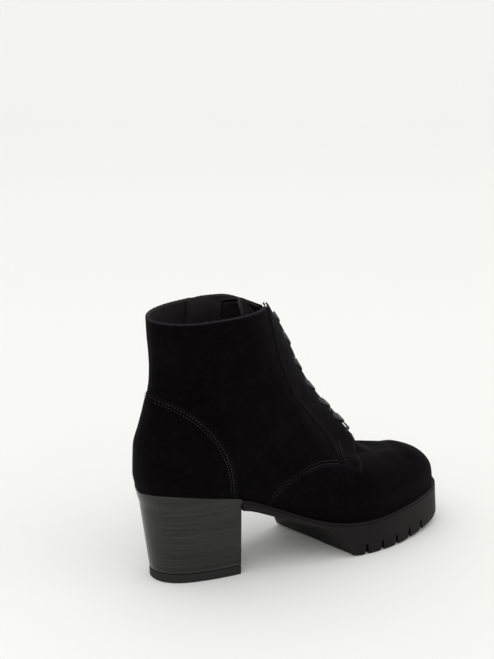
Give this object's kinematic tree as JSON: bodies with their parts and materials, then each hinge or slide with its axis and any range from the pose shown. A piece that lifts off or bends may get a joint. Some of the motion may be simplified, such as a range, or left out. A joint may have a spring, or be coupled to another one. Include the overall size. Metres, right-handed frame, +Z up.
{
  "type": "lace up ankle boot",
  "caption": "Suede lace-up ankle boot with an inner side zip, a covered block heel and a lugged platform sole, right foot.",
  "frame": {"origin": "on the floor under the middle of the boot's bounding box", "axes": "+X to the toe, +Y to the inner (medial) side of the right foot, +Z up"},
  "size_m": [0.2504, 0.0896, 0.192],
  "materials": {
    "suede": "black suede with a short nap",
    "lining": "dark brown smooth lining leather",
    "sole_rubber": "matte black moulded rubber",
    "lift_rubber": "matte black rubber",
    "heel_cover": "satin black cover with fine level brush lines",
    "lace": "flat dark grey woven lace",
    "zip_tape": "black zip tape with dark metal teeth",
    "zip_metal": "polished dark nickel"
  },
  "bodies": {
    "root": {"outsole": "sole_rubber", "heel_block": "heel_cover", "heel_lift": "lift_rubber", "insole": "lining", "upper": "suede", "tongue": "suede", "laces": "lace", "zip_strip": "zip_tape", "zip_guard": "lining", "zip_slider": "zip_metal"},
    "pull": {"zip_pull": "zip_metal", "zip_tab": "suede"}
  },
  "joints": [
    {"name": "pull_swing", "type": "hinge", "parent": "root", "child": "pull", "pos_m": [-0.06065, 0.03431, 0.1805], "axis": [1, 0, 0], "range_deg": [0, 170]}
  ]
}
